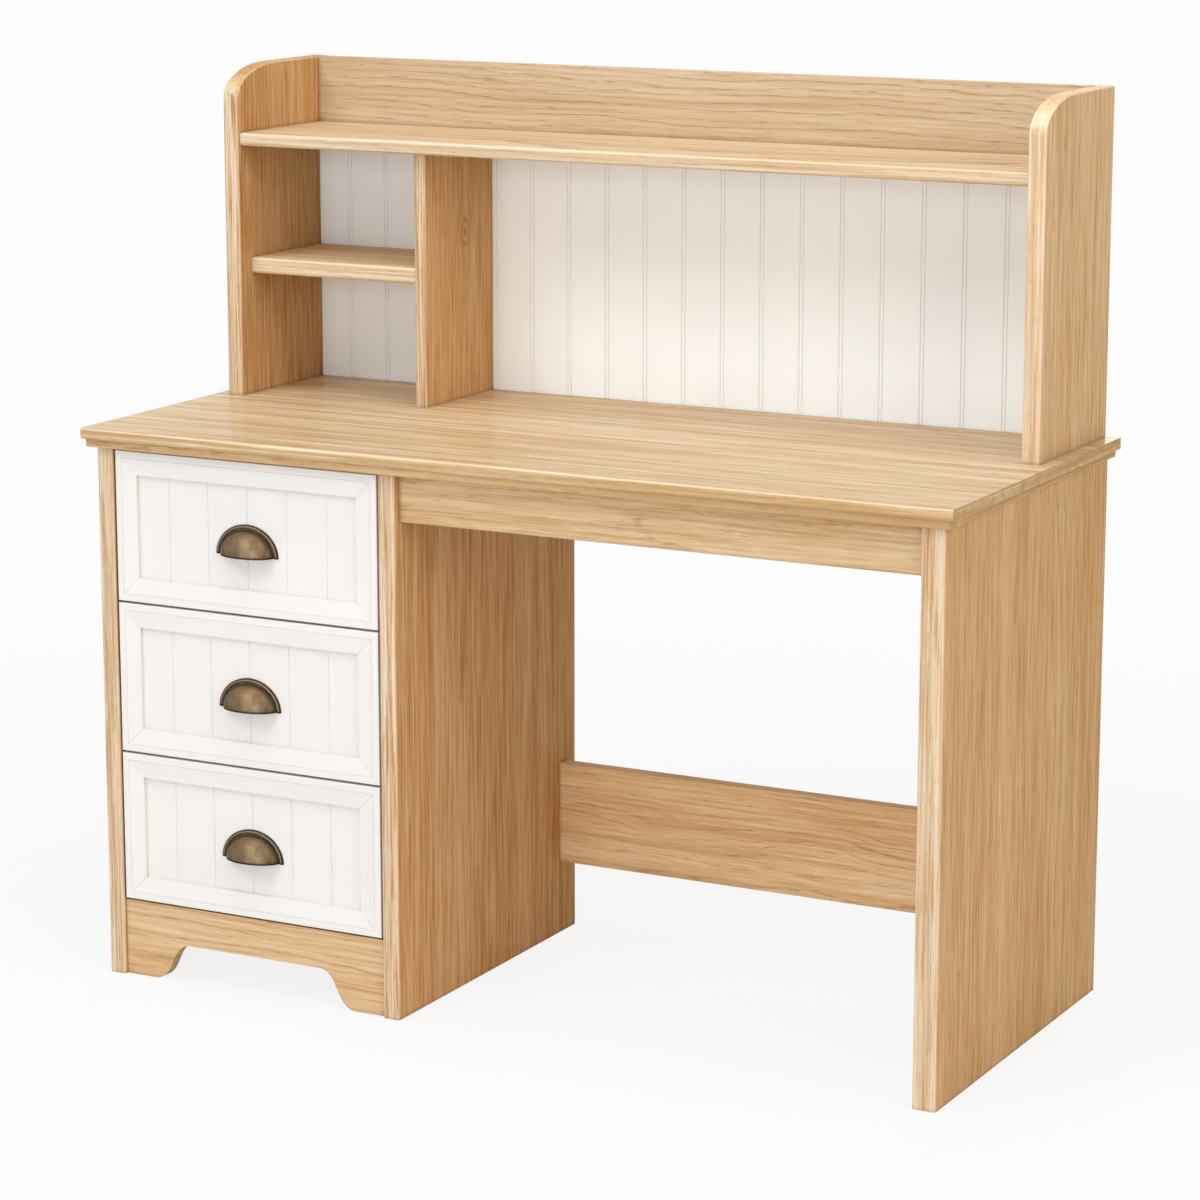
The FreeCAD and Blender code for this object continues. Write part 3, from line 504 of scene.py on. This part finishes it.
def aged_bronze(name, foot):
    """Bronze with a dark patina in its hollows and a rubbed golden brown crown;
    foot is the middle of the pull's lower back."""
    made, tree, shader = start_material(name)
    local = vector_calc(tree, "SUBTRACT", coordinates(tree, "Object"), foot)["Vector"]
    cloud, speck, brushed = (noise(tree, local, **choices) for choices in (PATINA, SPECK, BRUSHED))
    aside, back, up = axes(tree, local)
    wide = calc(tree, "POWER", calc(tree, "DIVIDE", calc(tree, "ABSOLUTE", aside), PULL_HALF_WIDTH), 2.0)
    rub = times(tree, remap(tree, back, *CROWN_DEPTH_RANGE), remap(tree, wide, *CROWN_WIDTH_RANGE))
    rub = times(tree, rub, remap(tree, cloud, *CROWN_PATINA_RANGE))
    bead = ridge(tree, back, *BEAD_DEPTHS)
    notch = calc(tree, "SINE", times(tree, calc(tree, "ARCTAN2", up, aside), NOTCH_COUNT))
    rim = times(tree, bead, remap(tree, notch, *NOTCH_RANGE))
    # darker in the hollows, where the patina gathers, and towards the bottom edge
    hollow_and_bottom_dark = calc(tree, "MAXIMUM", remap(tree, openness(tree, **DIRTY), *DIRT_RANGE),
                remap(tree, up, *BOTTOM_DARK_RANGE))
    base = blend(tree, rub, BRONZE_DARK, BRONZE_CROWN)
    base = blend(tree, remap(tree, brushed, *BRUSHED_RANGE), base, BRONZE_BRUSHED)
    base = blend(tree, times(tree, bead, BEAD_SHARE), base, BRONZE_BEAD)
    base = blend(tree, rim, base, BRONZE_NOTCH)
    base = blend(tree, remap(tree, speck, *SPECK_RANGE), base, BRONZE_SPECK)
    base = blend(tree, hollow_and_bottom_dark, base, BRONZE_DARKEST)
    rough = remap(tree, cloud, MIDDLE_SPAN, BRONZE_ROUGH_LEVELS)
    height = minus(tree, plus(tree, speck, times(tree, brushed, BRUSHED_HEIGHT)), rim)
    cover(tree, shader, base, rough, height, **BRONZE_RELIEF)
    shader.inputs["Metallic"].default_value = 1.0
    return made


# Plated and polished steel

METAL_CLOUD = dict(scale=(60.0, 60.0, 60.0), detail=3.0)
METAL_SHADE = 0.82
ROLLED_SHARE = 0.04
METAL_ROUGH_SHARES = (0.8, 1.25)
METAL_RELIEF = dict(strength=0.12, depth=0.0002)


def bare_metal(name, tint, rough, scale):
    """Plated steel: rolled streaks and a cloudy sheen."""
    made, tree, shader = start_material(name)
    place = coordinates(tree, "Object")
    cloud = noise(tree, place, **METAL_CLOUD)
    streak = noise(tree, place, (scale, scale * ROLLED_SHARE, scale))
    base = blend(tree, remap(tree, cloud, MIDDLE_SPAN), shaded(tint, METAL_SHADE), tint)
    rough_levels = tuple(rough * share for share in METAL_ROUGH_SHARES)
    cover(tree, shader, base, remap(tree, streak, MIDDLE_SPAN, rough_levels), streak, **METAL_RELIEF)
    shader.inputs["Metallic"].default_value = 1.0
    return made


# Which finish each piece has

def dress(node, material):
    """Gives a CAD node its finish."""
    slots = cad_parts[node].data.materials
    slots.clear()
    slots.append(material)


# axes along the grain, across it and through the board
X_BOARD, X_FACE = (0, 1, 2), (0, 2, 1)
Y_BOARD, Y_FACE = (1, 0, 2), (1, 2, 0)
Z_BOARD = (2, 1, 0)

# painted sheen: the desktop's oak is made paler and less saturated
DESKTOP_SHEEN_TINT = (1.06, 1.17, 1.31)
# painted shade: the oak of the upright panels is made darker and more saturated
PANEL_SHADE_TINT = (1.00, 0.94, 0.84)
# deeper painted shade: darker, more saturated oak for faces inside the hutch and the kneehole
INNER_SHADE_TINT = (0.90, 0.80, 0.66)
SLAB_LIP = ((0.500, 0.320, 0.150), (0.645, 0.465, 0.258))
STRIP_LIP = ((0.520, 0.335, 0.165), (0.635, 0.440, 0.235))
PANEL = dict(order=Z_BOARD, stave=0.17, ring=0.0040, depth=0.16, spread=0.5, tilt=0.02, wave=0.014, line=0.36,
             fibre=1.1, streak=0.22, edge="front", tint=PANEL_SHADE_TINT)
HUTCH = dict(PANEL, stave=0.7, depth=0.14, spread=0.3)
STRIP = dict(depth=0.20, spread=0.3, tilt=0.03, wave=0.015, edge="upright", lip=STRIP_LIP)
RAIL = dict(order=X_FACE, depth=0.10, spread=0.06, tilt=0.04, fibre=0.85, tint=(0.96, 0.98, 0.98))
SHELF = dict(order=X_BOARD, edge="front", wave=0.02, tint=(1.0, 1.07, 1.16))

# a small knot shows on the divider, past its middle and in its upper half
KNOT_BACK_SHARE, KNOT_UP_SHARE = 0.58, 0.665
divider_low, divider_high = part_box("hutch_divider")
DIVIDER_KNOT = (
    divider_low.z + KNOT_UP_SHARE * (divider_high.z - divider_low.z),
    divider_low.y + KNOT_BACK_SHARE * (divider_high.y - divider_low.y),
    divider_high.x,
)

OAK_PIECES = {
    "desktop": dict(order=X_BOARD, seed=3.1, stave=3.0, ring=0.0075, depth=0.20, spread=1.4, tilt=0.02,
                    wave=0.02, line=0.60, fibre=1.0, streak=0.8, tint=DESKTOP_SHEEN_TINT, edge="upright", lip=SLAB_LIP,
                    coat=0.32),
    "front_edge_strip": dict(STRIP, order=X_FACE, seed=8.4),
    "rear_edge_strip": dict(STRIP, order=X_FACE, seed=9.2),
    "left_edge_strip": dict(STRIP, order=Y_BOARD, seed=10.5),
    "right_edge_strip": dict(STRIP, order=Y_BOARD, seed=11.9),
    "middle_strip": dict(STRIP, order=Y_BOARD, seed=12.3),
    "left_side_panel": dict(PANEL, seed=14.8),
    # darker copy of the panel oak: painted shade inside the kneehole
    "middle_panel": dict(PANEL, seed=17.2, fibre=1.4, tint=(0.98, 0.86, 0.71)),
    "right_side_panel": dict(PANEL, seed=21.6),
    "apron_rail": dict(RAIL, seed=25.3, wave=0.02),
    # lighter copy of the rail oak: painted light on the rail at the back of the kneehole
    "stretcher_rail": dict(RAIL, seed=28.7, ring=0.0062, depth=0.05, spread=0.05, tilt=0.10, wave=0.06,
                           line=0.85, fibre=0.8, tint=(1.20, 1.20, 1.15)),
    "plinth_rail": dict(RAIL, seed=31.4, tint=(1.0, 1.0, 0.98)),
    "hutch_left_side": dict(HUTCH, seed=35.2, fibre=1.5, tint=INNER_SHADE_TINT),
    # lighter copy of the panel oak: painted light on the hutch's outer right face
    "hutch_right_side": dict(HUTCH, seed=38.8, tint=(1.13, 1.16, 1.19)),
    "hutch_divider": dict(HUTCH, seed=41.5, depth=0.12, spread=0.12, tilt=0.05, line=0.32, fibre=1.4,
                          tint=INNER_SHADE_TINT, knot=DIVIDER_KNOT),
    "hutch_long_shelf": dict(SHELF, seed=45.1),
    # lighter copy of the shelf oak: painted light on the small shelf in the long shelf's shade
    "hutch_small_shelf": dict(SHELF, seed=48.6, tint=(1.16, 1.22, 1.24)),
    "hutch_upper_back_board": dict(order=X_FACE, seed=52.9, ring=0.0065, depth=0.05, spread=0.06, tilt=0.06,
                                   wave=0.05, line=0.80, tint=(0.85, 0.92, 1.02)),
}
for node, choices in OAK_PIECES.items():
    dress(node, oak("oak_" + node, **choices))

BEAD_WHITE = (0.940, 0.990, 0.985)
BACK_WHITE = (0.890, 0.880, 0.860)
DRAWER_WHITE = (0.785, 0.753, 0.714)
BIRCH = (0.70, 0.545, 0.36)
BEECH = (0.66, 0.46, 0.27)
ZINC_SHEET = dict(tint=(0.62, 0.63, 0.65), rough=0.34, scale=500.0)
ZINC_FASTENER = dict(tint=(0.56, 0.57, 0.58), rough=0.30, scale=900.0)
BALL_STEEL = dict(tint=(0.74, 0.75, 0.77), rough=0.12, scale=900.0)

bead_paint = white_paint("white_bead_board", Z_BOARD, BEAD_WHITE, BACK_WHITE)
birch_x = plain_board("birch_crosswise", X_FACE, BIRCH, seed=2.0)
birch_y = plain_board("birch_lengthwise", Y_FACE, BIRCH, seed=5.0)
birch_flat = plain_board("birch_bottom", X_BOARD, BIRCH, seed=7.0)
zinc_sheet = bare_metal("zinc_sheet", **ZINC_SHEET)
zinc_fastener = bare_metal("zinc_fastener", **ZINC_FASTENER)
ball_steel = bare_metal("bearing_steel", **BALL_STEEL)
drawer_paint = white_paint("white_drawer_front", X_FACE, DRAWER_WHITE)
beech_dowel = plain_board("beech_dowel", Z_BOARD, BEECH, seed=9.0)

FIXED_FINISHES = {
    "hutch_back_panel": bead_paint,
    "pedestal_back_panel": birch_x,
    "pedestal_bottom_panel": birch_flat,
    "wood_dowels": beech_dowel,
    "cam_bolts": zinc_fastener,
    "cam_discs": zinc_fastener,
    "outer_rail_screws": zinc_fastener,
    "outer_slide_rails": zinc_sheet,
}
DRAWER_FINISHES = {
    "front": drawer_paint,
    "left_side": birch_y,
    "right_side": birch_y,
    "back": birch_x,
    "bottom": birch_flat,
    "pull_screws": zinc_fastener,
    "rail_screws": zinc_fastener,
    "inner_rails": zinc_sheet,
    "ball_cages": zinc_sheet,
    "slide_balls": ball_steel,
}
for node, material in FIXED_FINISHES.items():
    dress(node, material)
for number in (1, 2, 3):
    drawer = f"drawer_{number}_"
    for piece, material in DRAWER_FINISHES.items():
        dress(drawer + piece, material)
    low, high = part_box(drawer + "cup_pull")
    pull_foot = ((low.x + high.x) / 2, high.y, low.z)
    dress(drawer + "cup_pull", aged_bronze(f"aged_bronze_{number}", pull_foot))


# Camera, as far away and as high as the photograph was taken

CAMERA_PLACE = (2.3094, -4.3879, 1.6002)
CAMERA_YAW = math.radians(27.7075)
CAMERA_PITCH = math.radians(11.5869)
CAMERA_SENSOR = 36.0
CAMERA_LENS = 114.416
CAMERA_SHIFT_Y = -0.0333
CAMERA_FAR = 200.0

lens = bpy.data.cameras.new("camera")
lens.sensor_width = CAMERA_SENSOR
lens.lens = CAMERA_LENS
lens.shift_y = CAMERA_SHIFT_Y
lens.clip_end = CAMERA_FAR
camera = bpy.data.objects.new("camera", lens)
scene.collection.objects.link(camera)
camera.location = CAMERA_PLACE
ahead = Vector((
    -math.sin(CAMERA_YAW) * math.cos(CAMERA_PITCH),
    math.cos(CAMERA_YAW) * math.cos(CAMERA_PITCH),
    -math.sin(CAMERA_PITCH),
))
camera.rotation_euler = ahead.to_track_quat("-Z", "Y").to_euler()
scene.camera = camera


# Stage: a white floor that keeps a faint shadow, and white all round

WHITE = (0.977, 0.977, 0.977, 1.0)
FLOOR_HALF = 60.0
FLOOR_DROP = 0.0005
FLOOR_GREY = (0.85, 0.85, 0.85, 1.0)
FLOOR_ROUGHNESS = 0.9
FLOOR_SHADOW = 0.12
SHADOW_SPAN = (0.9, 3.0)
SKY = (0.99, 1.0, 1.02, 1.0)
SKY_LEVEL = 0.28


def seen(tree):
    """1 for rays from the camera, straight, mirrored or bent, and 0 for scattered light."""
    path = put(tree, "ShaderNodeLightPath").outputs
    clear = calc(tree, "MAXIMUM", path["Is Camera Ray"], path["Is Glossy Ray"])
    return calc(tree, "MAXIMUM", clear, path["Is Transmission Ray"])


floor_mesh = bpy.data.meshes.new("floor")
corners = [(-FLOOR_HALF, -FLOOR_HALF, 0), (FLOOR_HALF, -FLOOR_HALF, 0),
           (FLOOR_HALF, FLOOR_HALF, 0), (-FLOOR_HALF, FLOOR_HALF, 0)]
floor_mesh.from_pydata(corners, [], [(0, 1, 2, 3)])
floor = bpy.data.objects.new("floor", floor_mesh)
floor.location.z = -FLOOR_DROP
scene.collection.objects.link(floor)
floor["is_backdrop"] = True

floor_paint, tree, shader = start_material("floor")
shader.inputs["Base Color"].default_value = FLOOR_GREY
shader.inputs["Roughness"].default_value = FLOOR_ROUGHNESS
shader.inputs["Specular IOR Level"].default_value = 0.0
glow = put(tree, "ShaderNodeEmission", {"Color": WHITE, "Strength": 1.0})
away = vector_calc(tree, "LENGTH", coordinates(tree, "Object"))["Value"]
share = times(tree, seen(tree), remap(tree, away, SHADOW_SPAN, (1.0 - FLOOR_SHADOW, 1.0)))
mixed = put(tree, "ShaderNodeMixShader", {0: share, 1: shader.outputs[0], 2: glow.outputs[0]})
tree.links.new(mixed.outputs[0], tree.nodes["Material Output"].inputs["Surface"])
floor_mesh.materials.append(floor_paint)

world = bpy.data.worlds.new("studio")
scene.world = world
world.use_nodes = True
tree = world.node_tree
soft = tree.nodes["Background"]
soft.inputs["Color"].default_value = SKY
soft.inputs["Strength"].default_value = SKY_LEVEL
plain = put(tree, "ShaderNodeBackground", {"Color": WHITE, "Strength": 1.0})
mixed = put(tree, "ShaderNodeMixShader", {0: seen(tree), 1: soft.outputs[0], 2: plain.outputs[0]})
tree.links.new(mixed.outputs[0], tree.nodes["World Output"].inputs["Surface"])


# Lamps

COOL = (0.97, 1.0, 1.05)
AMBER = (1.0, 0.91, 0.78)
CREAM = (1.0, 0.97, 0.94)
DESK_MIDDLE = (0.0, 0.0, 0.6)
DESK_TOP = (0.0, 0.0, 0.7)
DESK_RIGHT = (0.3, 0.0, 0.6)
LAMPS = {
    "key": dict(place=(-2.6, -4.6, 5.6), target=DESK_MIDDLE, size=2.4, power=142.0, tint=COOL),
    "front": dict(place=(0.5, -7.2, 1.1), target=DESK_MIDDLE, size=4.0, power=212.0, tint=COOL),
    "top": dict(place=(0.2, -0.7, 3.4), target=DESK_TOP, size=2.4, power=53.0, tint=COOL),
    "right": dict(place=(3.8, -1.6, 2.2), target=DESK_RIGHT, size=2.6, power=64.0, tint=AMBER),
    "back": dict(place=(-1.2, 6.0, 3.0), target=DESK_MIDDLE, size=3.6, power=170.0, tint=CREAM),
}


def softbox(name, place, target, size, power, tint):
    """A square area lamp aimed at a point."""
    lamp = bpy.data.lights.new(name, "AREA")
    lamp.shape = "SQUARE"
    lamp.size = size
    lamp.energy = power
    lamp.color = tint
    holder = bpy.data.objects.new(name, lamp)
    scene.collection.objects.link(holder)
    holder.location = place
    holder.rotation_euler = (Vector(target) - Vector(place)).to_track_quat("-Z", "Y").to_euler()


for name, choices in LAMPS.items():
    softbox(name, **choices)

scene.view_settings.view_transform = "Standard"

low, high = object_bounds()
